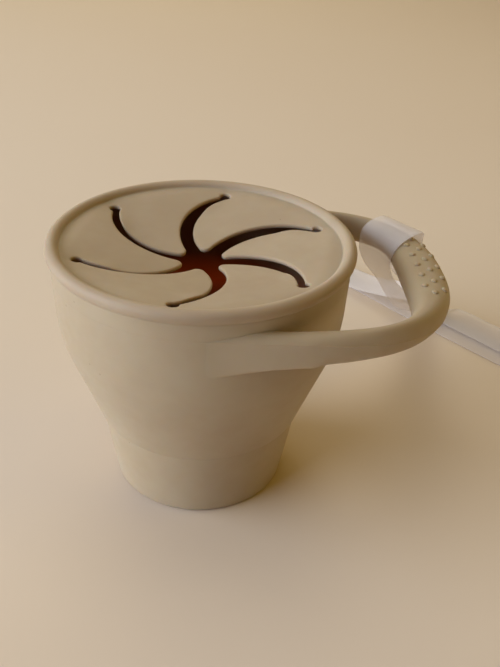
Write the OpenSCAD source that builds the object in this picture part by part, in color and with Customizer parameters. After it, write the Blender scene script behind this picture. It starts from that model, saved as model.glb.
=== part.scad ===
// Collapsible silicone snack cup with a petal lid, a side handle and a clear strap.
// Frame: origin on the table under the middle of the cup, +Z up, +X towards the grip.
// The lower part stands still, the upper part drops round it when the fold turns inside out.

/* [Lower cup] */
// Outer radius of the foot
foot_r = 27; // [20:0.5:34]
// Outer radius at the top of the lower cup
base_top_r = 31; // [24:0.5:38]
// Height of the lower cup
base_h = 24.5; // [14:0.5:36]
// Thickness of the floor
floor_t = 2.6; // [1.5:0.1:5]
// Rounding of the foot's outer edge
foot_round = 1.4; // [0.4:0.1:3]
// Thickness of every cup wall
wall_t = 2.2; // [1.2:0.1:3.5]

/* [Fold] */
// How far the fold stands out over the lower cup, as a step ring
fold_step = 0.6; // [0.2:0.1:1.5]
// Height of the folding cone
fold_h = 23.5; // [12:0.5:34]
// Outer radius where the fold meets the upper cup
fold_top_r = 40.3; // [34:0.1:46]
// Depth of the thinned crease inside each end of the fold
crease_d = 0.7; // [0.2:0.1:1]

/* [Upper cup] */
// Outer radius at the shoulder, where the wall turns upright
shoulder_r = 43.2; // [36:0.1:52]
// Height of the shoulder bend
shoulder_h = 16; // [6:0.5:24]
// Height of the straight wall from the shoulder to the rim
upper_h = 16; // [8:0.5:40]
// Outer radius at the rim
rim_r = 43.9; // [37:0.1:54]

/* [Lid] */
// Radius of the lid's round bead
bead_r = 2.45; // [2.1:0.05:4]
// How far the bead stands out past the rim
bead_over = 1.1; // [0.6:0.1:2.5]
// How far the bead's middle lies above the rim's top edge
bead_lift = 0.2; // [0:0.1:1]
// Depth of the plug that grips inside the wall
plug_h = 5.6; // [2:0.1:12]
// Thickness of the plug
plug_t = 2.0; // [1:0.1:3]
// Clearance between the lid's slot and the rim
lid_clear = 0.1; // [0.05:0.05:0.3]
// Thickness of the lid's skin
skin_t = 1.6; // [1:0.1:2.4]
// Height of the skin's upper face over the bead's middle
skin_rise = 0.3; // [-1:0.1:1]

/* [Petals] */
// Radius of the circle on which the slits end
slit_end_r = 36.7; // [30:0.1:42]
// Diameter of the hole at each slit's end
slit_hole_d = 3.3; // [2:0.1:5]
// Downward slope of the petals at rest, in degrees
petal_sag = 10.2; // [0:0.1:20]
// Radius of a slit's outer edge
slit_outer_r = 23.1; // [22:0.1:25]
// Radius of a slit's inner edge
slit_inner_r = 20.1; // [18:0.1:21]
// Distance from the cup's middle to the middle of a slit's outer edge
slit_outer_mid = 22.1; // [21:0.1:23]
// Distance from the cup's middle to the middle of a slit's inner edge
slit_inner_mid = 24; // [23:0.1:25]
// Rounding of a petal's tip
tip_round = 1.3; // [0.6:0.1:2]
// Gap left at a petal's root so that it can bend
root_gap = 0.3; // [0.2:0.05:0.6]

/* [Handle] */
// Reach of the grip from the cup's middle
grip_reach = 72.7; // [60:0.1:95]
// Thickness of the grip seen from above
grip_w = 13.1; // [8:0.1:18]
// Height of the grip
grip_h = 9.2; // [6:0.2:16]
// How far the two arms stand out past the wall at their own height
arm_out = 1.05; // [0.8:0.05:4]
// Thickness of an arm seen from above
arm_w = 7.2; // [4:0.2:9]
// Height of an arm
arm_h = 9; // [5:0.2:14]
// Height of an arm's root on the wall
root_h = 13; // [8:0.2:18]
// Distance from the cup's axis to the roots' ends, towards the grip
root_x = 4; // [0:0.5:10]
// Distance along an arm over which its tall root runs down to the arm's own height
root_run = 28; // [15:1:45]
// Height of the handle's middle below the rim's top edge
handle_drop = 10.4; // [8:0.1:20]
// Radius of a grip bump
bump_r = 0.95; // [0.6:0.05:1.4]
// How far a grip bump stands up
bump_rise = 0.6; // [0.3:0.1:1.2]
// Distance between grip bumps in one row
bump_pitch = 7.5; // [4:0.1:9]

/* [Strap] */
// Width of the strap
strap_w = 16.5; // [10:0.5:24]
// Thickness of the strap
strap_t = 0.5; // [0.3:0.05:0.8]

/* [Hidden] */
$fn = 96;

fold_z = base_h;
collar_z = base_h + fold_h;
rim_z = collar_z + shoulder_h + upper_h;
bead_z = rim_z + bead_lift;
bead_mid_r = rim_r + bead_over - bead_r;
skin_z = bead_z + skin_rise;
rim_lean = (rim_r - shoulder_r) / upper_h;
slot_out = rim_r + lid_clear;
slot_in = rim_r - wall_t - lid_clear;
plug_r = slot_in - plug_t;
handle_z = rim_z - handle_drop;
// Radius of the wall at the height of the handle's middle
wall_at_handle = shoulder_r + rim_lean * (upper_h - handle_drop);
arm_span = wall_at_handle + arm_out;
silicone = "#c9bda2";
// Far more than any piece, for cutting tools
big = 200;

// A point part of the way along a curve with one control point
function bend(a, b, c, t) = (1 - t) * (1 - t) * a + 2 * t * (1 - t) * b + t * t * c;
function shifted(pts, d) = [for (p = pts) p + d];
function reversed(list) = [for (i = [len(list) - 1 : -1 : 0]) list[i]];

// Outer line of the upper cup from its lower edge to the rim
bend_steps = 8;
collar_outer = concat(
    [for (i = [0 : bend_steps])
        bend([fold_top_r, collar_z], [shoulder_r - 0.3, collar_z + shoulder_h * 0.44],
             [shoulder_r, collar_z + shoulder_h], i / bend_steps)],
    [[rim_r, rim_z]]);
// Outer line of the whole cup, which the handle's roots are cut to
cup_outer = concat([[base_top_r, base_h], [base_top_r + fold_step, base_h]], collar_outer);

// Lower cup: a tapered pot with a flat floor and a rounded foot edge
module base_cup() {
    round_steps = 6;
    foot_line = [for (i = [0 : round_steps])
        [foot_r - foot_round + foot_round * sin(90 * i / round_steps),
         foot_round - foot_round * cos(90 * i / round_steps)]];
    color(silicone) rotate_extrude()
        polygon(concat([[0, 0]], foot_line, [[base_top_r, base_h]],
            [[base_top_r - wall_t, base_h], [foot_r - wall_t, floor_t + wall_t],
             [foot_r - 2 * wall_t, floor_t], [0, floor_t]]));
}

// Folding cone, thinned by a crease inside each end
module fold_wall() {
    low = [base_top_r + fold_step, fold_z];
    high = [fold_top_r, collar_z];
    // A crease spans this share of the cone's height
    share = 0.09;
    color(silicone) rotate_extrude()
        polygon([low, high, high - [wall_t - crease_d, 0],
            low + (high - low) * (1 - share) - [wall_t, 0],
            low + (high - low) * share - [wall_t, 0],
            low - [wall_t - crease_d, 0]]);
}

// Upper cup: the shoulder bend and the nearly upright wall up to the rim
module cup_collar() {
    color(silicone) rotate_extrude()
        polygon(concat(collar_outer, reversed(shifted(collar_outer, [-wall_t, 0]))));
}

// Handle seen from above: outer and inner lines, given by direction from the roots' middle
outer_power = 2.62;
inner_power = 4.8;
function line_at(reach, half, power, a) =
    let (far = pow(pow(cos(a) / (reach - root_x), power) + pow(abs(sin(a)) / half, power), -1 / power))
    [root_x + far * cos(a), far * sin(a)];
function outer_at(a) = line_at(grip_reach, arm_span, outer_power, a);
function inner_at(a) = line_at(grip_reach - grip_w, arm_span - arm_w, inner_power, a);
function smooth(t) = let (u = min(1, max(0, t))) u * u * (3 - 2 * u);

// Section of the handle in one direction: a rounded band between its outer and inner lines
handle_steps = 56;
section_sides = 20;
section_power = 0.84;
function rounded(v) = sign(v) * pow(abs(v), section_power);
function half_up(x) = (arm_h + (grip_h - arm_h) * smooth((x - root_x) / (grip_reach - root_x))) / 2;
function half_down(x) = half_up(x) + (root_h - arm_h) * (1 - min(1, (x - root_x) / root_run));
function handle_section(a) =
    let (o = outer_at(a), n = inner_at(a), mid = (o + n) / 2, side = (o - n) / 2)
    [for (k = [0 : section_sides - 1])
        let (b = 360 * k / section_sides, across = side * rounded(cos(b)), s = rounded(sin(b)))
        [mid[0] + across[0], mid[1] + across[1],
         handle_z + (s > 0 ? half_up(mid[0]) : half_down(mid[0])) * s]];

// A closed skin over rings of points, with a flat cap at each end
module skin(rings) {
    n = len(rings[0]);
    m = len(rings);
    polyhedron(
        points = [for (r = rings) each r],
        faces = concat(
            [[for (k = [n - 1 : -1 : 0]) k]],
            [for (j = [0 : m - 2], k = [0 : n - 1])
                let (a = j * n + k, b = j * n + (k + 1) % n) [a, b, a + n]],
            [for (j = [0 : m - 2], k = [0 : n - 1])
                let (a = j * n + k, b = j * n + (k + 1) % n) [b, b + n, a + n]],
            [[for (k = [0 : n - 1]) (m - 1) * n + k]]),
        convexity = 8);
}

// Grip bumps: staggered rows over the grip's upper and outer side, each row at a share of
// the grip's half thickness and with its own number of bumps
bump_rows = [[-0.3, 5], [0.18, 6], [0.65, 5]];
bump_taper = bump_r / 3;
bump_sides = 10;
module grip_bumps() {
    for (row = bump_rows, j = [0 : row[1] - 1]) {
        a = (j - (row[1] - 1) / 2) * bump_pitch * 57.3 / (grip_reach - root_x);
        o = outer_at(a);
        n = inner_at(a);
        p = (o + n) / 2 + (o - n) / 2 * row[0];
        up = half_up(p[0]) * pow(1 - pow(abs(row[0]), 2 / section_power), section_power / 2);
        translate([p[0], p[1], handle_z + up - bump_r])
            cylinder(h = bump_r + bump_rise, r1 = bump_r + bump_taper, r2 = bump_r - bump_taper,
                $fn = bump_sides);
    }
}

// Handle: one loop whose two roots end flush on the cup's wall
module handle() {
    color(silicone) difference() {
        union() {
            skin([for (i = [0 : handle_steps]) handle_section(-90 + 180 * i / handle_steps)]);
            grip_bumps();
        }
        rotate_extrude() polygon(concat([[0, base_h]], cup_outer, [[0, rim_z]]));
    }
}

// Distance from the cup's middle to the straight line on which a petal bends
petals = 6;
half_turn = 180 / petals;
hinge_x = slit_end_r * cos(half_turn);
hinge_z = skin_z - (slit_end_r - hinge_x) * tan(petal_sag) - skin_t / 2 / cos(petal_sag);
// First petal's direction, seen from above, anticlockwise from the handle
first_petal = 48.5;
function petal_angle(i) = first_petal + (i - 1) * 360 / petals;

// The six round holes in which the slits end
module slit_holes() {
    for (i = [1 : petals])
        rotate(petal_angle(i) + half_turn) translate([slit_end_r, 0, 0])
            cylinder(h = 2 * skin_z, d = slit_hole_d, $fn = 48);
}

// Solid above or below a plane that slopes down to the middle from the slit-end circle
module above_slope(drop) {
    translate([slit_end_r, 0, skin_z - drop]) rotate([0, -petal_sag, 0])
        translate([-big, -big / 2, 0]) cube([2 * big, big, big / 2]);
}
module below_slope(drop) {
    translate([slit_end_r, 0, skin_z - drop]) rotate([0, -petal_sag, 0])
        translate([-big, -big / 2, -big]) cube([2 * big, big, big]);
}

// Lid: round bead, slot for the rim, plug inside the wall and the outer part of the skin
module lid_ring() {
    color(silicone) {
        rotate_extrude() difference() {
            union() {
                translate([bead_mid_r, bead_z]) circle(bead_r);
                translate([plug_r, bead_z - plug_h]) square([plug_t, plug_h + skin_rise]);
            }
            // The slot leans inward as the wall does
            polygon([[slot_in - rim_lean * plug_h, rim_z - plug_h], [slot_out, rim_z - plug_h],
                     [slot_out, rim_z + lid_clear], [slot_in, rim_z + lid_clear]]);
        }
        difference() {
            skin_rim();
            slit_holes();
        }
    }
}

// Outer part of the skin: flat at first, then sloping down towards each petal's root
module skin_rim() {
    difference() {
        intersection() {
            translate([0, 0, skin_z - 2 * skin_t]) cylinder(h = 2 * skin_t, r = plug_r + plug_t / 4);
            skin_slopes(0);
        }
        skin_slopes(skin_t);
        rotate(first_petal + half_turn)
            cylinder(h = 2 * skin_z, r = (hinge_x + skin_t / 2 + root_gap) / cos(half_turn),
                $fn = petals);
    }
}

// Solid under a shallow six-sided bowl: flat outside, sloping down inside, some depth lower
module skin_slopes(depth) {
    difference() {
        cylinder(h = skin_z - depth, r = 2 * slit_end_r);
        for (i = [1 : petals]) rotate(petal_angle(i)) intersection() {
            above_slope(depth / cos(petal_sag));
            linear_extrude(big) polygon([[0, 0], big * [cos(half_turn), sin(half_turn)],
                big * [cos(half_turn), -sin(half_turn)]]);
        }
    }
}

// The round edge of a petal's root, about which it bends
module root_bar() {
    translate([hinge_x, 0, hinge_z]) rotate([90, 0, 0])
        cylinder(h = 2 * slit_end_r * sin(half_turn), r = skin_t / 2, center = true, $fn = 48);
}

// Petal seen from above, between its slit's inner edge and the next slit's outer edge
inner_turn = -4.2;
outer_turn = -65.7;
inner_mid = slit_inner_mid * [cos(inner_turn), sin(inner_turn)];
outer_mid = slit_outer_mid * [cos(outer_turn), sin(outer_turn)];
// The tip's own circle touches both edges
function crossing(a, ra, b, rb) =
    let (d = norm(b - a), u = (b - a) / d, along = (ra * ra - rb * rb + d * d) / (2 * d),
         across = sqrt(ra * ra - along * along))
    a + u * along + [u[1], -u[0]] * across;
function unit(v) = v / norm(v);
tip_mid = crossing(inner_mid, slit_inner_r - tip_round, outer_mid, slit_outer_r + tip_round);

module petal_outline() {
    on_inner = inner_mid + unit(tip_mid - inner_mid) * slit_inner_r;
    on_outer = outer_mid + unit(tip_mid - outer_mid) * slit_outer_r;
    beyond = tip_mid + unit(on_inner + on_outer - 2 * tip_mid) * 6 * tip_round;
    difference() {
        intersection() {
            translate(inner_mid) circle(slit_inner_r);
            translate([-big + hinge_x, -big / 2]) square(big);
        }
        translate(outer_mid) circle(slit_outer_r);
        polygon([tip_mid, on_inner, beyond, on_outer]);
    }
    translate(tip_mid) circle(tip_round, $fn = 32);
}

module petal(i) {
    color(silicone) rotate(petal_angle(i)) difference() {
        union() {
            intersection() {
                linear_extrude(2 * skin_z) petal_outline();
                difference() {
                    below_slope(0);
                    below_slope(skin_t / cos(petal_sag));
                }
            }
            root_bar();
        }
        rotate(-petal_angle(i)) slit_holes();
    }
}

// Strap: middle line from the open right end, over the handle and back along the table.
// Each point holds x, y, z and the direction of the strap's width in degrees.
strap_points = [
    [150, 45.5, 1.6, 39.6], [128, 72, 1.6, 39.6], [116, 86.5, 1.7, 38], [106, 96, 2.4, 20],
    [96, 90, 5.5, -14], [88, 77, 13, -34], [80, 61, 23.5, -44], [72, 46, 34, -50],
    [66, 34, 43, -53], [60.5, 26, 52, -56], [57, 21.5, 60, -60], [55.5, 19.5, 66, -63],
    [55.4, 19, 71, -61], [56.6, 19.6, 73.8, -57], [59.3, 21.4, 75.4, -53], [62.8, 24, 75.9, -51],
    [65.4, 27, 74.9, -51], [66.2, 29.6, 71.5, -52], [66.8, 31.2, 66.5, -53], [69, 35, 58, -54],
    [73, 43, 48, -55], [79, 55, 38, -60], [86, 69, 28, -72], [88.5, 86, 18, -94],
    [84, 102, 10.5, -118], [76, 116, 5.4, -132], [66, 130.5, 2.6, -139], [55, 146, 1.8, -140.4],
    [43, 160, 2, -140.4], [34, 171, 6, -140.4], [28, 178, 11.5, -140.4],
    [23.5, 183.5, 8.5, -140.4], [26, 180.5, 1.8, -140.4], [36, 169, 0.7, -140.4],
    [71, 131.5, 0.6, -140.4], [96, 99.5, 0.6, -140.4], [122, 68, 0.6, -140.4],
    [145, 40.5, 0.6, -140.4]];
span_steps = 3;
function pick(pts, i) = pts[min(len(pts) - 1, max(0, i))];
// A smooth line through all the points
function through(p0, p1, p2, p3, t) = 0.5 * (2 * p1 + (p2 - p0) * t
    + (2 * p0 - 5 * p1 + 4 * p2 - p3) * t * t + (3 * p1 - p0 - 3 * p2 + p3) * t * t * t);
strap_line = concat(
    [for (i = [0 : len(strap_points) - 2], s = [0 : span_steps - 1])
        through(pick(strap_points, i - 1), strap_points[i], strap_points[i + 1],
                pick(strap_points, i + 2), s / span_steps)],
    [strap_points[len(strap_points) - 1]]);
function place(p) = [p[0], p[1], p[2]];
function strap_ring(i) =
    let (p = strap_line[i], along = place(pick(strap_line, i + 1)) - place(pick(strap_line, i - 1)),
         across = [cos(p[3]), sin(p[3]), 0], up = unit(cross(along, across)),
         w = across * strap_w / 2, t = up * strap_t / 2)
    [place(p) - w - t, place(p) - w + t, place(p) + w + t, place(p) + w - t];

module strap() {
    color("#d9d2cb", 0.6) skin([for (i = [0 : len(strap_line) - 1]) strap_ring(i)]);
}

base_cup();
fold_wall();
cup_collar();
handle();
lid_ring();
petal(1);  // petal_1
petal(2);  // petal_2
petal(3);  // petal_3
petal(4);  // petal_4
petal(5);  // petal_5
petal(6);  // petal_6
strap();
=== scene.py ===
import math

import bpy
import numpy as np
from mathutils import Matrix, Vector
from mathutils.geometry import delaunay_2d_cdt


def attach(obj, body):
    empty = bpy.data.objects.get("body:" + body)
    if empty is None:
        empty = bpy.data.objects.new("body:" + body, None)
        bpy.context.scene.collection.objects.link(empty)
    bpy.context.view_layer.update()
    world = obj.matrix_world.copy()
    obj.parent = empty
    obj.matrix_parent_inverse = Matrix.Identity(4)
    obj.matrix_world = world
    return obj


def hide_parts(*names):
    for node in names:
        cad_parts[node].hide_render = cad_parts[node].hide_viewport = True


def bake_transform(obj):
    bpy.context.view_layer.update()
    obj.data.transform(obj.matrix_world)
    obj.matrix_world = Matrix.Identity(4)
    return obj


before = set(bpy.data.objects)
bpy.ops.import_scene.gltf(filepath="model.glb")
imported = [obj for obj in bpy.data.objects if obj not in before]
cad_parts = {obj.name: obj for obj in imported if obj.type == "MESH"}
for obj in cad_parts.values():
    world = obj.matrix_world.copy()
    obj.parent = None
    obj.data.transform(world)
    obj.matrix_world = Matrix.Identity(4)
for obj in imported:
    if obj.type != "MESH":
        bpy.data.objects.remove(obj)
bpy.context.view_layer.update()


# Lower cup: the small tapered pot on which everything stands, moulded in one with the rest
# of the cup in soft matte silicone. Its foot is a low ring round a slightly raised floor.
foot_r = 27.0
foot_rounding = 1.4
lower_top_r = 31.0
lower_h = 24.5
floor_t = 2.6
wall_t = 2.2
foot_recess = 0.45
foot_flare = 0.16


def softened(corners, steps=6):
    """A profile of (r, z, rounding) corners, each corner turned into a small arc."""
    line = []
    count = len(corners)
    for i, (r, z, rounding) in enumerate(corners):
        if rounding <= 0 or i in (0, count - 1):
            line.append((r, z))
            continue
        here = Vector((r, z))
        back = Vector(corners[i - 1][:2]) - here
        on = Vector(corners[i + 1][:2]) - here
        reach = min(rounding, 0.45 * back.length, 0.45 * on.length)
        start = here + back.normalized() * reach
        end = here + on.normalized() * reach
        for k in range(steps + 1):
            t = k / steps
            p = start * (1 - t) ** 2 + here * 2 * t * (1 - t) + end * t * t
            line.append((p.x, p.y))
    return line


def with_rings(line, spacing):
    """The same profile with extra points, so that no step along it is longer than spacing."""
    fine = [line[0]]
    for (r0, z0), (r1, z1) in zip(line, line[1:]):
        parts = max(1, math.ceil(math.hypot(r1 - r0, z1 - z0) / spacing))
        fine += [(r0 + (r1 - r0) * k / parts, z0 + (z1 - z0) * k / parts) for k in range(1, parts + 1)]
    return fine


def as_piece(name, points, faces, edge_angle=38):
    """A smooth-shaded piece from points in millimetres, sharp only where faces meet steeply."""
    mesh = bpy.data.meshes.new(name)
    mesh.from_pydata([(x * 0.001, y * 0.001, z * 0.001) for x, y, z in points], [], faces)
    mesh.shade_smooth()
    mesh.set_sharp_from_angle(angle=math.radians(edge_angle))
    piece = bpy.data.objects.new(name, mesh)
    bpy.context.scene.collection.objects.link(piece)
    return piece


def turned(name, profile_at, closed, first_angle=18.5, steps=360, edge_angle=38):
    """A turned shell. profile_at(angle) gives the (r, z) profile there, outer side upwards."""
    points, faces, rows = [], [], []
    for j in range(steps):
        angle = math.radians(first_angle + 360 * j / steps)
        row = []
        for i, (r, z) in enumerate(profile_at(angle)):
            if r < 1e-6 and j > 0:
                row.append(rows[0][i])
                continue
            row.append(len(points))
            points.append((r * math.cos(angle), r * math.sin(angle), z))
        rows.append(row)
    count = len(rows[0])
    for j in range(steps):
        this, after = rows[j], rows[(j + 1) % steps]
        for i in range(count if closed else count - 1):
            k = (i + 1) % count
            corners = [this[i], after[i], after[k], this[k]]
            faces.append([c for n, c in enumerate(corners) if c not in corners[:n]])
    return as_piece(name, points, faces, edge_angle)


def tone(red, green, blue):
    """A colour given as 0-255 values, made linear."""
    parts = [v / 255 for v in (red, green, blue)]
    return tuple(v / 12.92 if v <= 0.04045 else ((v + 0.055) / 1.055) ** 2.4 for v in parts) + (1.0,)


# The silicone's finish; its heights are in metres, as a shader counts them
dust = tone(112, 92, 68)
satin = 0.56
translucence = 0.25
# Painted glow: dim red emission inside the cup, for daylight that comes through the wall
daylight = (0.052, 0.004, 0.0, 1.0)
no_light = (0.0, 0.0, 0.0, 1.0)
daylight_rise_z = (0.040, 0.047)
daylight_fall_z = (0.049, 0.057)
# Heights over which the painted shade inside the cup grows darker and warmer towards the floor
painted_low_shade_z = (0.045, 0.078)


def silicone(name, main, warm, painted_low_shade=None):
    """Matte moulded silicone: slow drifts of tone, faint dust specks and a fine satin grain.
    Inside the cup, an optional tone is painted shade, darker and warmer towards the floor, and a
    dim band of red emission is a painted glow for the daylight that comes through the soft wall."""
    made = bpy.data.materials.new(name)
    made.use_nodes = True
    nodes, links = made.node_tree.nodes, made.node_tree.links
    shader = nodes["Principled BSDF"]
    place = nodes.new("ShaderNodeTexCoord")

    def noise(scale, detail, rough=0.5):
        node = nodes.new("ShaderNodeTexNoise")
        node.inputs["Scale"].default_value = scale
        node.inputs["Detail"].default_value = detail
        node.inputs["Roughness"].default_value = rough
        links.new(place.outputs["Object"], node.inputs["Vector"])
        return node.outputs["Fac"]

    def ranged(source, low, high, out_low, out_high):
        node = nodes.new("ShaderNodeMapRange")
        node.inputs["From Min"].default_value = low
        node.inputs["From Max"].default_value = high
        node.inputs["To Min"].default_value = out_low
        node.inputs["To Max"].default_value = out_high
        links.new(source, node.inputs["Value"])
        return node.outputs["Result"]

    def mixed(share, a, b):
        node = nodes.new("ShaderNodeMix")
        node.data_type = "RGBA"
        links.new(share, node.inputs["Factor"])
        for socket, value in ((node.inputs["A"], a), (node.inputs["B"], b)):
            if isinstance(value, tuple):
                socket.default_value = value
            else:
                links.new(value, socket)
        return node.outputs["Result"]

    drift = ranged(noise(42.0, 3.0, 0.55), 0.35, 0.65, 0.0, 1.0)
    body = mixed(drift, main, warm)
    if painted_low_shade:
        height = nodes.new("ShaderNodeSeparateXYZ")
        links.new(place.outputs["Object"], height.inputs["Vector"])
        # Painted shade: darker and warmer towards the cup's floor
        body = mixed(ranged(height.outputs["Z"], *painted_low_shade_z, 0.0, 1.0), painted_low_shade, body)
        # Painted glow: a dim red emission band on the inside wall
        band = nodes.new("ShaderNodeMath")
        band.operation = "MULTIPLY"
        links.new(ranged(height.outputs["Z"], *daylight_rise_z, 0.0, 1.0), band.inputs[0])
        links.new(ranged(height.outputs["Z"], *daylight_fall_z, 1.0, 0.0), band.inputs[1])
        links.new(mixed(band.outputs[0], no_light, daylight), shader.inputs["Emission Color"])
        shader.inputs["Emission Strength"].default_value = 1.0
    cells = nodes.new("ShaderNodeTexVoronoi")
    cells.inputs["Scale"].default_value = 330.0
    links.new(place.outputs["Object"], cells.inputs["Vector"])
    near = ranged(cells.outputs["Distance"], 0.05, 0.11, 1.0, 0.0)
    chosen = nodes.new("ShaderNodeSeparateColor")
    links.new(cells.outputs["Color"], chosen.inputs["Color"])
    rare = ranged(chosen.outputs["Red"], 0.955, 0.965, 0.0, 0.5)
    dots = nodes.new("ShaderNodeMath")
    dots.operation = "MULTIPLY"
    links.new(near, dots.inputs[0])
    links.new(rare, dots.inputs[1])
    links.new(mixed(dots.outputs[0], body, dust), shader.inputs["Base Color"])
    polish = ranged(noise(260.0, 2.0), 0.3, 0.7, satin - 0.05, satin + 0.07)
    links.new(polish, shader.inputs["Roughness"])
    swell = nodes.new("ShaderNodeBump")
    swell.inputs["Strength"].default_value = 0.35
    swell.inputs["Distance"].default_value = 0.00035
    links.new(noise(75.0, 2.0), swell.inputs["Height"])
    grain = nodes.new("ShaderNodeBump")
    grain.inputs["Strength"].default_value = 0.22
    grain.inputs["Distance"].default_value = 0.00004
    links.new(noise(2600.0, 3.0, 0.6), grain.inputs["Height"])
    links.new(swell.outputs["Normal"], grain.inputs["Normal"])
    links.new(grain.outputs["Normal"], shader.inputs["Normal"])

    shader.inputs["Subsurface Weight"].default_value = translucence
    shader.inputs["Subsurface Radius"].default_value = (1.0, 0.42, 0.16)
    shader.inputs["Subsurface Scale"].default_value = 0.0035
    shader.inputs["IOR"].default_value = 1.41
    shader.inputs["Specular IOR Level"].default_value = 0.42
    shader.inputs["Sheen Weight"].default_value = 0.06
    shader.inputs["Sheen Roughness"].default_value = 0.55
    return made


cup_silicone = silicone("cup_silicone", tone(180, 162, 135), tone(175, 155, 127))
# Painted shade: the cup's inside is the same silicone, given darker and warmer tones here
cup_inside_painted_shade = silicone("cup_inside_painted_shade", tone(172, 148, 120), tone(166, 141, 112), painted_low_shade=tone(150, 112, 78))


def line_with(piece, finish, middle_radius):
    """Gives the faces inside the cup, those within middle_radius(z), a darker, warmer copy of the
    silicone: painted shade, for the low light inside the cup.
    """
    piece.data.materials.append(finish)
    for face in piece.data.polygons:
        x, y, z = face.center * 1000
        if z > floor_t - 0.1 and math.hypot(x, y) < middle_radius(z):
            face.material_index = 1


foot_profile = softened([
    (0, foot_recess, 0), (foot_r - 4.2, foot_recess, 0.6), (foot_r - 3.6, 0, 0.35),
    (foot_r, 0, foot_rounding), (lower_top_r - 0.08, lower_h - 0.9, 0.5),
    (lower_top_r + 0.02, lower_h, 0.1), (lower_top_r - wall_t, lower_h, 0.05),
    (foot_r - wall_t, floor_t + wall_t, 2.4),
    (foot_r - 2.2 * wall_t, floor_t, 1.6), (0, floor_t, 0)])
foot_line = with_rings(foot_profile, 1.2)
cup_foot = turned("cup_foot", lambda angle: foot_line, closed=False)
cup_foot.data.materials.append(cup_silicone)
line_with(cup_foot, cup_inside_painted_shade, lambda z: foot_r - wall_t / 2 + foot_flare * z)
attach(cup_foot, "lower_cup")
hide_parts("base_cup")


# Fold: the flared cone between the lower and the upper cup, which turns inside out when the
# cup is pushed flat. It is thinned inside at both ends and stands out as a step at the bottom.
fold_step = 0.6
fold_h = 23.5
fold_top_r = 40.3
crease_d = 0.7
fold_flare = 0.37
fold_half_t = 0.85
fold_top_z = lower_h + fold_h

fold_profile = softened([
    (lower_top_r, lower_h, 0), (lower_top_r + fold_step - 0.1, lower_h + 0.25, 0.5),
    (lower_top_r + fold_step + 0.26, lower_h + 1.0, 0.5),
    (fold_top_r - 0.62, fold_top_z - 1.6, 0.6), (fold_top_r - 0.03, fold_top_z, 0),
    (fold_top_r - wall_t + crease_d, fold_top_z, 0.1), (fold_top_r - wall_t - 0.78, fold_top_z - 2.1, 0.8),
    (lower_top_r + fold_step - wall_t + 0.78, lower_h + 2.1, 0.8),
    (lower_top_r + fold_step - wall_t + crease_d, lower_h, 0)])
fold_line = with_rings(fold_profile, 0.55)
cup_fold = turned("cup_fold", lambda angle: fold_line, closed=True)
cup_fold.data.materials.append(cup_silicone)
line_with(cup_fold, cup_inside_painted_shade, lambda z: fold_top_r - fold_half_t - fold_flare * (fold_top_z - z))
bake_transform(cup_fold)
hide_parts("fold_wall")


# Upper cup: the shoulder that bends upright and the nearly straight wall up to the rim, on
# which the lid's slot sits. A hair-thin parting line of the mould runs round it near the top.
shoulder_r = 43.2
shoulder_h = 16.0
shoulder_rise = 0.44
shoulder_bow = 0.3
upper_h = 16.0
rim_r = 43.9
rim_z = fold_top_z + shoulder_h + upper_h
parting_z = 73.0
wall_top_z = 79.8


def wall_radius(z):
    """Outer radius of the upper cup's wall at a height."""
    if z >= fold_top_z + shoulder_h:
        return shoulder_r + (rim_r - shoulder_r) * (z - fold_top_z - shoulder_h) / upper_h
    if z <= fold_top_z:
        return fold_top_r - fold_flare * (fold_top_z - z)
    low, high = 0.0, 1.0
    for _ in range(30):
        t = (low + high) / 2
        at = fold_top_z + 2 * t * (1 - t) * shoulder_h * shoulder_rise + t * t * shoulder_h
        low, high = (t, high) if at < z else (low, t)
    return (1 - t) ** 2 * fold_top_r + 2 * t * (1 - t) * (shoulder_r - shoulder_bow) + t * t * shoulder_r


def outer_wall(z):
    """The wall's radius with the crease at its lower edge and the parting line near its top."""
    crease = 0.03 * math.exp(-(((z - fold_top_z) / 1.2) ** 2))
    ridge = 0.045 * math.exp(-(((z - parting_z) / 0.16) ** 2))
    return wall_radius(z) - crease + ridge


heights = [fold_top_z + 0.25 * k for k in range(9)] + [fold_top_z + 2 + 0.7 * k for k in range(1, 33)]
heights += [parting_z - 0.5 + 0.1 * k for k in range(11)] + [74.5, 76.0, 77.5, 78.6, 79.5, wall_top_z]
heights = sorted(z for z in set(round(z, 3) for z in heights) if z <= wall_top_z)
upper_outer = [(outer_wall(z), z) for z in heights]
upper_inner = [(wall_radius(z) - wall_t, z) for z in reversed(heights[::3])]
rim_arc = [(rim_r - 0.04, rim_z - 0.1), (rim_r - 0.15, rim_z - 0.02), (rim_r - 0.4, rim_z),
           (rim_r - wall_t + 0.4, rim_z), (rim_r - wall_t + 0.1, rim_z - 0.05)]
upper_line = upper_outer + rim_arc + upper_inner + [(fold_top_r - wall_t, fold_top_z)]
cup_upper = turned("cup_upper", lambda angle: upper_line, closed=True)
cup_upper.data.materials.append(cup_silicone)
line_with(cup_upper, cup_inside_painted_shade, lambda z: wall_radius(z) - wall_t / 2 if z < rim_z - 0.2 else 0.0)
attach(cup_upper, "upper_cup")
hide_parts("cup_collar")


# Handle: a stiff loop of the same silicone that grows out of the upper wall on both sides.
# Its roots are tall flat plates; it gets rounder and wider towards the grip at the far end.
grip_reach = 72.7
grip_w = 13.1
grip_h = 9.2
arm_span = 44.5
arm_w = 7.2
arm_h = 9.0
root_x = 4.0
handle_z = 69.6
outer_power = 2.62
inner_power = 4.8
section_power = 0.84
flat_face_y = 43.45
root_sink = 0.8
plate_x = 33
plate_run = 6
edge_turn = 1.3
flush_soft = 0.3
ridge_h = 0.18
ridge_turn = 1.6
step_h = 0.11
step_turn = 30
round_steps = 88
ring_steps = 260


def eased(t):
    u = min(1.0, max(0.0, t))
    return u * u * (3 - 2 * u)


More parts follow.
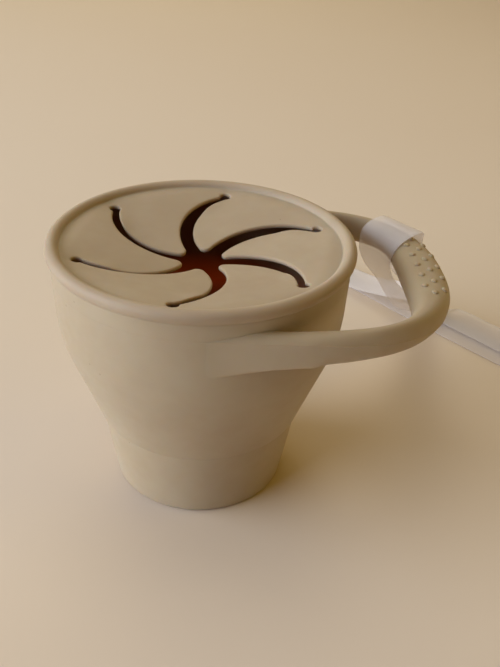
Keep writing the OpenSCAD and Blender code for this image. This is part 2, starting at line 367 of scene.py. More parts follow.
def bulged(v):
    """A sine or cosine that makes the section a little fuller or flatter than an ellipse."""
    return math.copysign(abs(v) ** section_power, v)


def loop_line(reach, half, power, angle):
    """A point of the loop seen from above, in a direction from the middle of its roots."""
    far = (abs(math.cos(angle)) / (reach - root_x)) ** power + (abs(math.sin(angle)) / half) ** power
    far = far ** (-1 / power)
    return np.array([root_x + far * math.cos(angle), far * math.sin(angle)])


def loop_edges(angle):
    return (loop_line(grip_reach, arm_span, outer_power, angle),
            loop_line(grip_reach - grip_w, arm_span - arm_w, inner_power, angle))


def half_up(x):
    rise = 0.7 * (1 - eased((x - 10) / 16))
    return (arm_h + (grip_h - arm_h) * eased((x - root_x) / (grip_reach - root_x))) / 2 + rise


def half_down(x):
    """The loop's depth under its middle height: the roots run down the wall in a long wedge."""
    return float(np.interp(x, [-1, 4, 6.5, 11, 18, 25, 33, 45, grip_reach],
                           [10.6, 8.9, 7.8, 6.6, 5.35, 4.8, 4.8, 4.5, grip_h / 2]))


def crease_up(x):
    """The height of the crease between a root's flat face and its rounded top."""
    return float(np.interp(x, [-1, 5, 10, 19, 28, 34], [3.45, 3.4, 3.05, 2.9, 2.5, 2.3]))


def face_out(x, z):
    """How far out a root's flat face stands: flush with the wall where it starts, then upright."""
    wall = wall_radius(z)
    return wall + (flat_face_y - wall) * eased((x - 3) / 15) - 0.08 * (1 - eased((x + 1) / 3))


def parting_turn(angle):
    """Where on the section the mould's parting line runs: high at the roots, low at the grip."""
    away = abs(math.degrees(angle))
    return float(np.interp(away, [0, 24, 30, 40, 50, 60, 70, 80, 90],
                           [-34, -16, -9, 0, 14, 26, 38, 43, 45]))


def section_point(angle, from_parting, back=0.0):
    """A point of the handle's skin: a direction round the loop, and an angle on its section
    counted from the parting line, which stands up as a fine ridge. Past the loop's ends, back
    is the distance that an arm still runs on along the wall."""
    outer, inner = loop_edges(angle)
    middle, side = (outer + inner) / 2, (outer - inner) / 2
    away = side / np.linalg.norm(side)
    x = middle[0] - back
    line_at = parting_turn(angle)
    degrees = (line_at + from_parting + 180) % 360 - 180
    c, s = math.cos(math.radians(degrees)), math.sin(math.radians(degrees))
    tall = half_up(x) if s > 0 else half_down(x)
    across = bulged(c)
    rise = tall * bulged(s)
    # Near the roots the outer half of the section is a flat face with a rounded top on it
    plate = eased((plate_x - x) / plate_run) if c > 0 else 0.0
    if plate > 0 and s > 0:
        past = edge_turn * math.log1p(math.exp(min(60.0, (degrees - line_at) / edge_turn)))
        share = min(1.0, past / (90 - line_at))
        dome = (tall - crease_up(x)) * math.sin(math.pi / 2 * share)
        flat_rise = crease_up(x) * (degrees - past) / line_at + dome
        across += plate * (0.35 * (1 - share) + 0.65 * math.cos(math.pi / 2 * share) - across)
        rise += plate * (flat_rise - rise)
    elif plate > 0:
        across += plate * (c ** 0.25 - across)
        rise += plate * (-tall * abs(s) ** 0.25 - rise)
    flush = 0.0
    if abs(away[1]) > 0.6:
        reach = abs(outer[1])
        face = face_out(outer[0] - back, handle_z + rise)
        wanted = -flush_soft * math.log(math.exp((face - reach) / flush_soft) + 1) + face
        flush = (reach - wanted) / abs(away[1]) * max(0.0, across)
    seen = eased((abs(math.degrees(angle)) - 12) / 14) * (1 - 0.6 * plate)
    gap = (from_parting + 180) % 360 - 180
    step_up = 1 / (1 + math.exp(-max(-40, min(40, gap * 2))))
    step = step_h * step_up * math.exp(-((gap / step_turn) ** 2))
    ridge = (ridge_h * math.exp(-((gap / ridge_turn) ** 2)) + step) * seen
    at = middle + side * across + away * (ridge * across - flush)
    return at[0] - back, at[1], handle_z + rise + ridge * bulged(s)


section_turns = [0, 0.5, 1.1, 1.8, 2.6, 3.6, 5.0, 7.0]
section_turns += [7 + 346 * k / round_steps for k in range(1, round_steps)]
section_turns += [353, 355, 356.4, 357.4, 358.2, 358.9, 359.5]
ring_turns = len(section_turns)
arm_ends = [4.5, 3.6, 2.8, 2.1, 1.4, 0.7]
ring_places = [(-math.pi / 2, back) for back in arm_ends]
ring_places += [(math.radians(-90 + 180 * i / ring_steps), 0.0) for i in range(ring_steps + 1)]
ring_places += [(math.pi / 2, back) for back in reversed(arm_ends)]
handle_points, handle_faces = [], []
for angle, back in ring_places:
    for from_parting in section_turns:
        x, y, z = section_point(angle, from_parting, back)
        # The roots end inside the wall's thickness
        sunk = wall_radius(z) - root_sink
        r = math.hypot(x, y)
        if r < sunk:
            x, y = x * sunk / r, y * sunk / r
        handle_points.append((x, y, z))
for i in range(len(ring_places) - 1):
    for k in range(ring_turns):
        a, b = i * ring_turns + k, i * ring_turns + (k + 1) % ring_turns
        handle_faces.append([a, a + ring_turns, b + ring_turns, b])
last = (len(ring_places) - 1) * ring_turns
handle_faces.append([k for k in range(ring_turns)])
handle_faces.append([last + k for k in reversed(range(ring_turns))])
handle_loop = as_piece("handle_loop", handle_points, handle_faces, 60)
handle_loop.data.materials.append(cup_silicone)
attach(handle_loop, "upper_cup")
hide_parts("handle")


# Grip bumps: small moulded domes in staggered rows over the grip's upper and outer side, one
# with the handle, there so that a wet small hand doesn't slip.
bump_r = 0.95
bump_rise = 0.62
bump_pitch = 7.5
bump_rows = [(-0.3, 5), (0.18, 6), (0.65, 5)]
bump_segments = 28
bump_rings = 14
one_radian = 57.3


def skin_at(angle, turn):
    outer, inner = loop_edges(angle)
    middle, side = (outer + inner) / 2, (outer - inner) / 2
    c, s = math.cos(turn), math.sin(turn)
    at = middle + side * bulged(c)
    return Vector((at[0], at[1], handle_z + half_up(middle[0]) * bulged(s)))


seats, stands = [], []
for share, number in bump_rows:
    for j in range(number):
        angle = math.radians((j - (number - 1) / 2) * bump_pitch * one_radian / (grip_reach - root_x))
        turn = math.acos(math.copysign(abs(share) ** (1 / section_power), share))
        here = skin_at(angle, turn)
        along = skin_at(angle + 0.002, turn) - skin_at(angle - 0.002, turn)
        round_it = skin_at(angle, turn + 0.01) - skin_at(angle, turn - 0.01)
        up = round_it.cross(along).normalized()
        if up.z < 0:
            up = -up
        seats.append(here / 1000)
        stands.append(up)

bump_tree = bpy.data.node_groups.new("grip_bump_rows", "GeometryNodeTree")
sockets = bump_tree.interface
sockets.new_socket(name="Seats", in_out="INPUT", socket_type="NodeSocketGeometry")
for label, size in (("Bump radius", bump_r / 1000), ("Bump rise", bump_rise / 1000)):
    socket = sockets.new_socket(name=label, in_out="INPUT", socket_type="NodeSocketFloat")
    socket.default_value = size
socket = sockets.new_socket(name="Segments", in_out="INPUT", socket_type="NodeSocketInt")
socket.default_value = bump_segments
sockets.new_socket(name="Finish", in_out="INPUT", socket_type="NodeSocketMaterial")
sockets.new_socket(name="Bumps", in_out="OUTPUT", socket_type="NodeSocketGeometry")
nodes, links = bump_tree.nodes, bump_tree.links
entry = nodes.new("NodeGroupInput")
ball = nodes.new("GeometryNodeMeshUVSphere")
ball.inputs["Rings"].default_value = bump_rings
ball.inputs["Radius"].default_value = 1.0
links.new(entry.outputs["Segments"], ball.inputs["Segments"])
size = nodes.new("ShaderNodeCombineXYZ")
links.new(entry.outputs["Bump radius"], size.inputs["X"])
links.new(entry.outputs["Bump radius"], size.inputs["Y"])
links.new(entry.outputs["Bump rise"], size.inputs["Z"])
stand = nodes.new("GeometryNodeInputNamedAttribute")
stand.data_type = "FLOAT_VECTOR"
stand.inputs["Name"].default_value = "stands"
aim = nodes.new("FunctionNodeAlignRotationToVector")
aim.axis = "Z"
links.new(stand.outputs["Attribute"], aim.inputs["Vector"])
copies = nodes.new("GeometryNodeInstanceOnPoints")
links.new(entry.outputs["Seats"], copies.inputs["Points"])
links.new(ball.outputs["Mesh"], copies.inputs["Instance"])
links.new(aim.outputs["Rotation"], copies.inputs["Rotation"])
links.new(size.outputs["Vector"], copies.inputs["Scale"])
real = nodes.new("GeometryNodeRealizeInstances")
links.new(copies.outputs["Instances"], real.inputs["Geometry"])
smooth = nodes.new("GeometryNodeSetShadeSmooth")
links.new(real.outputs["Geometry"], smooth.inputs["Geometry"])
finish = nodes.new("GeometryNodeSetMaterial")
links.new(smooth.outputs["Geometry"], finish.inputs["Geometry"])
links.new(entry.outputs["Finish"], finish.inputs["Material"])
leave = nodes.new("NodeGroupOutput")
links.new(finish.outputs["Geometry"], leave.inputs["Bumps"])

seat_mesh = bpy.data.meshes.new("bump_seats")
seat_mesh.from_pydata(seats, [], [])
mark = seat_mesh.attributes.new("stands", "FLOAT_VECTOR", "POINT")
mark.data.foreach_set("vector", [part for up in stands for part in up])
bump_seats = bpy.data.objects.new("bump_seats", seat_mesh)
bpy.context.scene.collection.objects.link(bump_seats)
rows = bump_seats.modifiers.new("rows", "NODES")
rows.node_group = bump_tree
settings = {"Bump radius": bump_r * 1.02 / 1000, "Bump rise": bump_rise / 1000,
            "Segments": bump_segments, "Finish": cup_silicone}
for item in sockets.items_tree:
    if item.name in settings:
        rows[item.identifier] = settings[item.name]
bpy.context.view_layer.update()
bump_mesh = bpy.data.meshes.new_from_object(
    bump_seats.evaluated_get(bpy.context.evaluated_depsgraph_get()))
bump_mesh.name = "grip_bumps"
grip_bumps = bpy.data.objects.new("grip_bumps", bump_mesh)
bpy.context.scene.collection.objects.link(grip_bumps)
bpy.data.objects.remove(bump_seats)
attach(grip_bumps, "upper_cup")


# Lid's ring: a fat round bead with a slot under it that grips the cup's rim, and a plug that
# hangs inside the wall. It is moulded in one with the skin, which starts at its inner foot.
bead_r = 1.95
bead_low = 2.4
bead_middle_r = 43.05
bead_z = 80.2
skin_z = 80.35
skin_t = 1.6
skin_out_r = 40.6
plug_r = 39.6
plug_low_z = 74.6
plug_bend_z = 77.5
slot_in_r = 41.6
slot_out_r = 43.95
slot_top_z = 80.1
foot_fillet = 0.5
under_count = 12
inner_count = 6
slit_end_r = 36.6
petal_slope = math.tan(math.radians(10.2))
first_petal = 48.5
slope_start = 1.6
own_slope_r = 25
shared_slope_run = 7
corner_sharp = 1.3
bead_first_turn = -44
bead_turn_step = 4.2
bead_points = 72

lid_silicone = silicone("lid_silicone", tone(176, 156, 131), tone(170, 149, 124))


def skin_drop(x, y):
    """How far the skin lies under its outer edge at a place seen from the first petal's axis."""
    r = math.hypot(x, y)
    turn = math.atan2(y, x)
    ahead = [r * math.cos(turn - math.radians(60 * k)) for k in range(6)]
    top = max(ahead)
    rounded = top + math.log(sum(math.exp(corner_sharp * (a - top)) for a in ahead)) / corner_sharp
    own = r * math.cos(turn)
    share = eased((r - own_slope_r) / shared_slope_run)
    reach = own + (rounded - own) * share
    gap = (slit_end_r - reach) * slope_start
    return petal_slope * (math.log1p(math.exp(-abs(gap))) + max(gap, 0)) / slope_start


def sector_drop(r, turn):
    """The same, for a place given round the whole lid, where all six sectors are alike."""
    local = (turn + 30) % 60 - 30
    return skin_drop(r * math.cos(math.radians(local)), r * math.sin(math.radians(local)))


def bead_profile(angle):
    foot_z = skin_z - sector_drop(skin_out_r, math.degrees(angle) - first_petal)
    line = [(plug_r + 0.5, plug_low_z), (plug_r + 1.3, plug_low_z),
            (slot_in_r - 0.4, plug_low_z + 0.15), (slot_in_r - 0.24, plug_low_z + 0.4),
            (slot_in_r - 0.1, plug_bend_z), (slot_in_r, slot_top_z - 0.1),
            (slot_in_r + 0.1, slot_top_z), (slot_out_r, slot_top_z),
            (slot_out_r + 0.1, slot_top_z - 0.1), (slot_out_r + 0.17, slot_top_z - 0.9),
            (slot_out_r + 0.29, slot_top_z - 1.2), (slot_out_r + 0.45, slot_top_z - 1.56)]
    for k in range(54):
        turn = math.radians(bead_first_turn + bead_turn_step * k)
        half_z = bead_r if turn > 0 else bead_low
        r, z = bead_middle_r + bead_r * math.cos(turn), bead_z + half_z * math.sin(turn)
        if turn > math.pi / 2 and z < foot_z + foot_fillet:
            break
        line.append((r, z))
    high = foot_z + foot_fillet - bead_z
    start = Vector((bead_middle_r - math.sqrt(bead_r ** 2 - high ** 2), foot_z + foot_fillet))
    down = Vector((-high, -math.sqrt(bead_r ** 2 - high ** 2))).normalized()
    knee = start + down * (foot_fillet / -down.y)
    end = Vector((skin_out_r, foot_z))
    bead = [p for p in line[under_count:] if p[1] > start.y + 0.02 or p[0] > bead_middle_r]
    line = line[:under_count] + bead
    for k in range(9):
        t = k / 8
        p = start * (1 - t) ** 2 + knee * 2 * t * (1 - t) + end * t * t
        line.append((p.x, p.y))
    line += [(skin_out_r, foot_z - skin_t), (plug_r - 0.1, foot_z - skin_t - 0.15),
             (plug_r, foot_z - skin_t - 0.6), (plug_r, plug_bend_z - 0.5), (plug_r, plug_low_z + 0.5),
             (plug_r + 0.15, plug_low_z + 0.15)]
    return line


def resampled(line, count):
    """The same line with a set number of evenly spaced points."""
    line = np.array(line)
    run = np.concatenate([[0], np.cumsum(np.hypot(*np.diff(line, axis=0).T))])
    at = np.linspace(0, run[-1], count)
    return list(zip(np.interp(at, run, line[:, 0]), np.interp(at, run, line[:, 1])))


def bead_ring(angle):
    line = bead_profile(angle)
    under, bead, tail = line[:under_count], line[under_count:-inner_count], line[-inner_count:]
    return under + resampled(bead, bead_points) + tail


lid_bead = turned("lid_bead", bead_ring, closed=True, edge_angle=50)
lid_bead.data.materials.append(lid_silicone)
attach(lid_bead, "lid")
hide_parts("lid_ring")


# Petals: the lid's skin, cut by six curved slits that end in small round holes. Each sector
# is one soft tongue that hangs slightly towards the middle and bends down under a hand.
slit_hole_r = 1.65
slit_inner_r = 20.1
slit_outer_r = 23.1
tip_round = 1.9
edge_round = 0.52
under_in = 1.0
under_up = 0.95


def polar(r, degrees):
    return np.array([r * math.cos(math.radians(degrees)), r * math.sin(math.radians(degrees))])


slit_inner_mid = 24.0
slit_outer_mid = 22.1
inner_middle = polar(slit_inner_mid, -4.2)
outer_middle = polar(slit_outer_mid, -65.7)


def meeting(a, ra, b, rb, side):
    """Where two circles cross; side picks one of the two places."""
    d = np.linalg.norm(b - a)
    u = (b - a) / d
    along = (ra * ra - rb * rb + d * d) / (2 * d)
    across = math.sqrt(ra * ra - along * along)
    return a + u * along + side * across * np.array([u[1], -u[0]])


tip_middle = meeting(inner_middle, slit_inner_r - tip_round, outer_middle, slit_outer_r + tip_round, 1)


def arc(middle, start, end, count, turn_way):
    """Points on a circle from start to end, going round the given way."""
    a = math.atan2(start[1] - middle[1], start[0] - middle[0])
    b = math.atan2(end[1] - middle[1], end[0] - middle[0])
    if turn_way > 0:
        while b < a:
            b += 2 * math.pi
    else:
        while b > a:
            b -= 2 * math.pi
    r = np.linalg.norm(start - middle)
    return [middle + r * np.array([math.cos(a + (b - a) * k / count), math.sin(a + (b - a) * k / count)])
            for k in range(count)]


def sector_outline(inset):
    """The sector's edge seen from above, its free edges moved in by inset."""
    low_hole, high_hole = polar(slit_end_r, -30), polar(slit_end_r, 30)
    hole_r = slit_hole_r + inset
    low_start = polar(slit_end_r + hole_r, -30)
    high_end = polar(slit_end_r + hole_r, 30)
    outer_r, inner_r = slit_outer_r + inset, slit_inner_r - inset
    low_places = [meeting(low_hole, hole_r, outer_middle, outer_r, s) for s in (1, -1)]
    high_places = [meeting(high_hole, hole_r, inner_middle, inner_r, s) for s in (1, -1)]
    on_low = max(low_places, key=lambda p: p[1])
    on_high = min(high_places, key=lambda p: p[0])
    to_outer = (outer_middle - tip_middle) / np.linalg.norm(outer_middle - tip_middle)
    to_inner = (tip_middle - inner_middle) / np.linalg.norm(tip_middle - inner_middle)
    tip_r = tip_round - inset
    tip_low = tip_middle + to_outer * tip_r
    tip_high = tip_middle + to_inner * tip_r
    rim_low, rim_high = polar(skin_out_r, -30), polar(skin_out_r, 30)
    line = [rim_low + (low_start - rim_low) * k / 3 for k in range(3)]
    line += arc(low_hole, low_start, on_low, 18, 1)
    line += arc(outer_middle, on_low, tip_low, 90, 1)
    line += arc(tip_middle, tip_low, tip_high, 22, -1)
    line += arc(inner_middle, tip_high, on_high, 90, -1)
    line += arc(high_hole, on_high, high_end, 26, 1)
    line += [high_end + (rim_high - high_end) * k / 3 for k in range(3)]
    line += [polar(skin_out_r, 30 - k) for k in range(60)]
    return line


def top_of(p):
    return skin_z - skin_drop(p[0], p[1])


edge_steps = 5
outlines, levels = [], []
for k in range(edge_steps + 1):
    t = math.pi / 2 * k / edge_steps
    outlines.append(sector_outline(edge_round * (1 - math.sin(t))))
    levels.append(-edge_round * (1 - math.cos(t)))
for k in range(edge_steps + 1):
    t = math.pi / 2 * k / edge_steps
    outlines.append(sector_outline(under_in * (1 - math.cos(t))))
    levels.append(-skin_t + under_up * (1 - math.sin(t)))
loop_size = len(outlines[0])
sector_points = [(p[0], p[1], top_of(p) + level) for line, level in zip(outlines, levels) for p in line]
sector_faces = []
for j in range(len(outlines) - 1):
    for k in range(loop_size):
        a, b = j * loop_size + k, j * loop_size + (k + 1) % loop_size
        sector_faces.append([a, b, b + loop_size, a + loop_size])

# The upper and lower faces share one grid of inner points
edge = np.array(outlines[0])
grid = []
spacing = 1.0
row_spacing = 0.866
edge_room = 0.45
for row in range(-40, 41):
    for column in range(-5, 42):
        grid.append((column * spacing + (row % 2) * spacing / 2, row * row_spacing))
grid = np.array(grid)
ahead = np.roll(edge, -1, axis=0)
inside = np.zeros(len(grid), bool)
nearest = np.full(len(grid), 1e9)
for (x0, y0), (x1, y1) in zip(edge, ahead):
    crosses = (y0 > grid[:, 1]) != (y1 > grid[:, 1])
    at = (x1 - x0) * (grid[:, 1] - y0) / ((y1 - y0) if abs(y1 - y0) > 1e-12 else 1e-12) + x0
    inside ^= crosses & (grid[:, 0] < at)
    run = np.array([x1 - x0, y1 - y0])
    t = np.clip(((grid - (x0, y0)) @ run) / max(run @ run, 1e-12), 0, 1)
    nearest = np.minimum(nearest, np.hypot(*(grid - (np.array([x0, y0]) + t[:, None] * run)).T))
grid = grid[inside & (nearest > edge_room)]
flat = [Vector(p) for p in edge] + [Vector(p) for p in grid]
made = delaunay_2d_cdt(flat, [(k, (k + 1) % loop_size) for k in range(loop_size)],
                       [list(range(loop_size))], 1, 1e-7)
triangles, origins = made[2], made[3]
whose = [found[0] if found else None for found in origins]
top_index, low_index = {}, {}
low_loop = (len(outlines) - 1) * loop_size
for k in range(loop_size):
    top_index[k], low_index[k] = k, low_loop + k
for k, p in enumerate(grid):
    top_index[loop_size + k] = len(sector_points)
    sector_points.append((p[0], p[1], top_of(p)))
for k, p in enumerate(grid):
    low_index[loop_size + k] = len(sector_points)
    sector_points.append((p[0], p[1], top_of(p) - skin_t))
for triangle in triangles:
    a, b, c = (whose[v] for v in triangle)
    p, q, s = flat[a], flat[b], flat[c]
    if (q - p).x * (s - p).y - (q - p).y * (s - p).x < 0:
        b, c = c, b
    sector_faces.append([top_index[a], top_index[b], top_index[c]])
    sector_faces.append([low_index[a], low_index[c], low_index[b]])

for number in range(1, 7):
    direction = math.radians(first_petal + 60 * (number - 1))
    c, s = math.cos(direction), math.sin(direction)
    swung = [(c * x - s * y, s * x + c * y, z) for x, y, z in sector_points]
    sector = as_piece(f"petal_sector_{number}", swung, sector_faces, 50)
    sector.data.materials.append(lid_silicone)
    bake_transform(sector)
    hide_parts(f"petal_{number}")


# Strap: a flat frosted see-through ribbon that comes in from the right along the table, goes
# up over the far corner of the handle, back down and round behind, where it folds on itself.
strap_w = 16.5
strap_t = 0.5
strap_points = [
    (150, 45.5, 1.6, 39.6), (128, 72, 1.6, 39.6), (116, 86.5, 1.7, 38), (106, 96, 2.4, 20),
    (96, 90, 5.5, -14), (88, 77, 13, -34), (81.2, 61, 23.5, -44), (75, 46, 34, -50),
    (70, 34, 43, -53), (64.8, 26, 52, -56), (58.6, 21.5, 60, -60), (55.5, 19.5, 66, -63),
    (55.4, 19, 71, -61), (56.6, 19.6, 73.8, -57), (59.3, 21.4, 75.4, -53), (62.8, 24, 75.9, -51),
    (65.4, 27, 74.9, -51), (66.2, 29.6, 71.5, -52), (66.8, 31.2, 66.5, -53), (69, 35, 58, -54),
    (73, 43, 48, -55), (79, 55, 38, -60), (86, 69, 28, -72), (88.5, 86, 18, -94),
    (84, 102, 10.5, -118), (76, 116, 5.4, -132), (66, 130.5, 2.6, -139), (55, 146, 1.8, -140.4),
    (43, 160, 2, -140.4), (34, 171, 6, -140.4), (28, 178, 11.5, -140.4),
    (23.5, 183.5, 8.5, -140.4), (26, 180.5, 1.8, -140.4), (36, 169, 0.7, -140.4),
    (71, 131.5, 0.6, -140.4), (96, 99.5, 0.6, -140.4), (122, 68, 0.6, -140.4),
    (145, 40.5, 0.6, -140.4)]
span_steps = 10
columns = 12
end_round = 2.0
edge_share = 0.35
edge_power = 24


def smooth_line(points, steps):
    """A smooth line through all the points, with steps parts between each two."""
    p = np.array([points[0]] + list(points) + [points[-1]], float)
    line = []
    for i in range(1, len(p) - 2):
        for k in range(steps):
            t = k / steps
            a, b, c, d = p[i - 1:i + 3]
            line.append(0.5 * (2 * b + (c - a) * t + (2 * a - 5 * b + 4 * c - d) * t * t
                               + (3 * b - a - 3 * c + d) * t ** 3))
    return np.array(line + [p[-1]])


strap_line = smooth_line(strap_points, span_steps)
middle_line = strap_line[:, :3]
run = np.concatenate([[0], np.cumsum(np.linalg.norm(np.diff(middle_line, axis=0), axis=1))])
strap_verts, strap_faces = [], []
side_points = columns + 1
for i, row in enumerate(strap_line):
    along = middle_line[min(i + 1, len(middle_line) - 1)] - middle_line[max(i - 1, 0)]
    across = np.array([math.cos(math.radians(row[3])), math.sin(math.radians(row[3])), 0.0])
    up = np.cross(along, across)
    up /= np.linalg.norm(up)
    # The ends are cut with rounded corners
    from_end = min(run[i], run[-1] - run[i])
    cut = max(0.0, 1 - from_end / end_round)
    narrow = 1 - end_round / (strap_w / 2) * (1 - math.sqrt(1 - cut ** 2))
    for side in (1, -1):
        for k in range(side_points):
            v = (2 * k / columns - 1) * side
            thin = math.sqrt(max(0.0, 1 - abs(v) ** edge_power))
            half_t = strap_t / 2 * (edge_share + (1 - edge_share) * thin)
            strap_verts.append(tuple(row[:3] + across * v * narrow * strap_w / 2 + up * side * half_t))
loop = 2 * side_points
for i in range(len(strap_line) - 1):
    for k in range(loop):
        a, b = i * loop + k, i * loop + (k + 1) % loop
        strap_faces.append([a, a + loop, b + loop, b])
end = (len(strap_line) - 1) * loop
strap_faces.append(list(range(loop)))
strap_faces.append([end + k for k in reversed(range(loop))])
strap_ribbon = as_piece("strap_ribbon", strap_verts, strap_faces, 60)
strap_map = strap_ribbon.data.uv_layers.new(name="strap_map")
for corner in strap_ribbon.data.loops:
    i, k = divmod(corner.vertex_index, loop)
    v = (2 * (k % side_points) / columns - 1) * (1 if k < side_points else -1)
    strap_map.data[corner.index].uv = (run[i] / 1000, v * strap_w / 2000)

frosted = bpy.data.materials.new("strap_frosted")
frosted.use_nodes = True
nodes, links = frosted.node_tree.nodes, frosted.node_tree.links
shader = nodes["Principled BSDF"]
place = nodes.new("ShaderNodeUVMap")
place.uv_map = "strap_map"
streaks = nodes.new("ShaderNodeTexNoise")
streaks.inputs["Scale"].default_value = 120.0
streaks.inputs["Detail"].default_value = 3.0
spread = nodes.new("ShaderNodeMapping")
spread.inputs["Scale"].default_value = (0.35, 1.6, 1.0)
links.new(place.outputs["UV"], spread.inputs["Vector"])
links.new(spread.outputs["Vector"], streaks.inputs["Vector"])
tint = nodes.new("ShaderNodeMix")
tint.data_type = "RGBA"
tint.inputs["A"].default_value = tone(241, 236, 240)
tint.inputs["B"].default_value = tone(233, 227, 231)
links.new(streaks.outputs["Fac"], tint.inputs["Factor"])
links.new(tint.outputs["Result"], shader.inputs["Base Color"])
frost = nodes.new("ShaderNodeTexNoise")
frost.inputs["Scale"].default_value = 3200.0
frost.inputs["Detail"].default_value = 2.0
links.new(place.outputs["UV"], frost.inputs["Vector"])
matte = nodes.new("ShaderNodeMapRange")
matte.inputs["To Min"].default_value = 0.34
matte.inputs["To Max"].default_value = 0.5
links.new(frost.outputs["Fac"], matte.inputs["Value"])
links.new(matte.outputs["Result"], shader.inputs["Roughness"])
rough_skin = nodes.new("ShaderNodeBump")
rough_skin.inputs["Strength"].default_value = 0.3
rough_skin.inputs["Distance"].default_value = 0.00004
links.new(frost.outputs["Fac"], rough_skin.inputs["Height"])
links.new(rough_skin.outputs["Normal"], shader.inputs["Normal"])
shader.inputs["Alpha"].default_value = 0.37
shader.inputs["IOR"].default_value = 1.4
strap_ribbon.data.materials.append(frosted)
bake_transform(strap_ribbon)
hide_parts("strap")


# Table: one sheet of plain paper that runs back flat and then curves up far behind. Past the
# lamps' reach the camera sees it fade into the pale room.
table_colour = tone(222, 206, 188)
room_colour = tone(206, 188, 164)
fade_from = 0.95
fade_to = 1.5
paper_front_y = -2.2
paper_half_w = 2.4
paper_top_z = 2.0
curve_y = 1.0
curve_r = 0.5
paper_line = [(paper_front_y, 0.0), (curve_y, 0.0)]
for degrees in range(5, 91, 5):
    turn = math.radians(degrees)
    paper_line.append((curve_y + curve_r * math.sin(turn), curve_r - curve_r * math.cos(turn)))
paper_line.append((curve_y + curve_r, paper_top_z))
paper_points = [(x, y, z) for y, z in paper_line for x in (-paper_half_w, paper_half_w)]
paper_faces = [[2 * i, 2 * i + 1, 2 * i + 3, 2 * i + 2] for i in range(len(paper_line) - 1)]
paper_mesh = bpy.data.meshes.new("paper")
paper_mesh.from_pydata(paper_points, [], paper_faces)
paper_mesh.shade_smooth()
paper = bpy.data.objects.new("paper", paper_mesh)
bpy.context.scene.collection.objects.link(paper)
paper_finish = bpy.data.materials.new("paper_finish")
paper_finish.use_nodes = True
nodes, links = paper_finish.node_tree.nodes, paper_finish.node_tree.links
shader = nodes["Principled BSDF"]
place = nodes.new("ShaderNodeTexCoord")
cloud = nodes.new("ShaderNodeTexNoise")
cloud.inputs["Scale"].default_value = 3.0
cloud.inputs["Detail"].default_value = 2.0
links.new(place.outputs["Object"], cloud.inputs["Vector"])
tint = nodes.new("ShaderNodeMix")
tint.data_type = "RGBA"
tint.inputs["A"].default_value = table_colour
tint.inputs["B"].default_value = tone(219, 201, 182)
links.new(cloud.outputs["Fac"], tint.inputs["Factor"])
links.new(tint.outputs["Result"], shader.inputs["Base Color"])
shader.inputs["Roughness"].default_value = 0.85
shader.inputs["Specular IOR Level"].default_value = 0.2
distance = nodes.new("ShaderNodeVectorMath")
distance.operation = "LENGTH"
links.new(place.outputs["Object"], distance.inputs[0])
fade = nodes.new("ShaderNodeMapRange")
fade.interpolation_type = "SMOOTHSTEP"
fade.inputs["From Min"].default_value = fade_from
fade.inputs["From Max"].default_value = fade_to
links.new(distance.outputs["Value"], fade.inputs["Value"])
ray = nodes.new("ShaderNodeLightPath")
faded = nodes.new("ShaderNodeMath")
faded.operation = "MULTIPLY"
links.new(fade.outputs["Result"], faded.inputs[0])
links.new(ray.outputs["Is Camera Ray"], faded.inputs[1])
far_paper = nodes.new("ShaderNodeEmission")
far_paper.inputs["Color"].default_value = room_colour
paper_mix = nodes.new("ShaderNodeMixShader")
links.new(faded.outputs["Value"], paper_mix.inputs["Fac"])
links.new(shader.outputs["BSDF"], paper_mix.inputs[1])
links.new(far_paper.outputs["Emission"], paper_mix.inputs[2])
links.new(paper_mix.outputs["Shader"], nodes["Material Output"].inputs["Surface"])
paper_mesh.materials.append(paper_finish)


# Light: a wide low window from the left and a little in front, with three dim large panels
# that stand for the pale ceiling, the back of the room and the warm side away from the window.
lit_place = Vector((0.0, 0.0, 0.03))


def soft_lamp(name, at, width, height, power, colour, spread=180):
    """A soft panel at a place, turned towards the cup."""
    lamp_data = bpy.data.lights.new(name, "AREA")
    lamp_data.spread = math.radians(spread)
    lamp_data.shape = "RECTANGLE"
    lamp_data.size = width
    lamp_data.size_y = height
    lamp_data.energy = power
    lamp_data.color = colour
    lamp = bpy.data.objects.new(name, lamp_data)
    bpy.context.scene.collection.objects.link(lamp)
    lamp.location = at
    lamp.rotation_euler = (lit_place - Vector(at)).to_track_quat("-Z", "Y").to_euler()


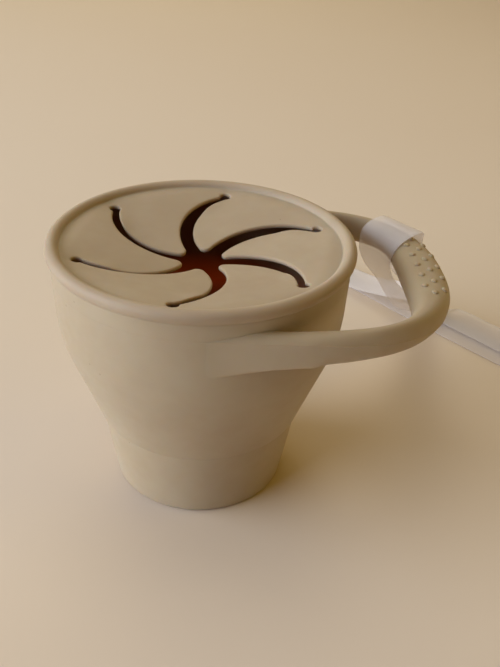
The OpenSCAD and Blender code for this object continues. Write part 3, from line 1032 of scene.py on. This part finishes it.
soft_lamp("window", (-1.16, -0.29, 0.46), 1.6, 0.85, 13.1, (0.79, 0.88, 1.0), spread=120)
soft_lamp("ceiling", (-0.15, 0.25, 1.4), 0.9, 0.9, 5.8, (0.94, 0.92, 0.82))
soft_lamp("back", (-0.2, 1.2, 0.7), 0.9, 0.9, 3.2, (1.0, 0.88, 0.5))
soft_lamp("warm_side", (1.21, 0.0, 0.73), 0.9, 0.9, 3.7, (1.0, 0.72, 0.1))
room = bpy.data.worlds.new("room")
room.use_nodes = True
nodes, links = room.node_tree.nodes, room.node_tree.links
dim = nodes["Background"]
dim.inputs["Color"].default_value = (1.0, 0.5, 0.2, 1.0)
dim.inputs["Strength"].default_value = 0.06
pale = nodes.new("ShaderNodeBackground")
pale.inputs["Color"].default_value = room_colour
pale.inputs["Strength"].default_value = 1.0
path = nodes.new("ShaderNodeLightPath")
either = nodes.new("ShaderNodeMixShader")
links.new(path.outputs["Is Camera Ray"], either.inputs["Fac"])
links.new(dim.outputs["Background"], either.inputs[1])
links.new(pale.outputs["Background"], either.inputs[2])
links.new(either.outputs["Shader"], nodes["World Output"].inputs["Surface"])
bpy.context.scene.world = room


# Camera: the photograph's own viewpoint, worked out from the cup's circles. It stands in front
# of the cup and above it, looks down on the lid, and is tipped a little to one side.
photo_w = 500
sensor_w = 36.0
focal = 849.1501839
camera_y, camera_z = -0.22442395, 0.18747701
yaw, pitch, roll = -0.0675114081, -0.5516285209, 0.0490641280
level_right = Vector((math.cos(yaw), math.sin(yaw), 0))
ahead = Vector((-math.sin(yaw) * math.cos(pitch), math.cos(yaw) * math.cos(pitch), math.sin(pitch)))
level_up = level_right.cross(ahead)
right = level_right * math.cos(roll) + level_up * math.sin(roll)
up = level_up * math.cos(roll) - level_right * math.sin(roll)
camera_data = bpy.data.cameras.new("camera")
camera_data.sensor_fit = "HORIZONTAL"
camera_data.sensor_width = sensor_w
camera_data.lens = focal * sensor_w / photo_w
camera_data.clip_start = 0.01
camera = bpy.data.objects.new("camera", camera_data)
bpy.context.scene.collection.objects.link(camera)
camera.matrix_world = Matrix((
    (right.x, up.x, -ahead.x, 0.0), (right.y, up.y, -ahead.y, camera_y),
    (right.z, up.z, -ahead.z, camera_z), (0, 0, 0, 1)))
bpy.context.scene.camera = camera
bpy.context.scene.view_settings.view_transform = "Standard"
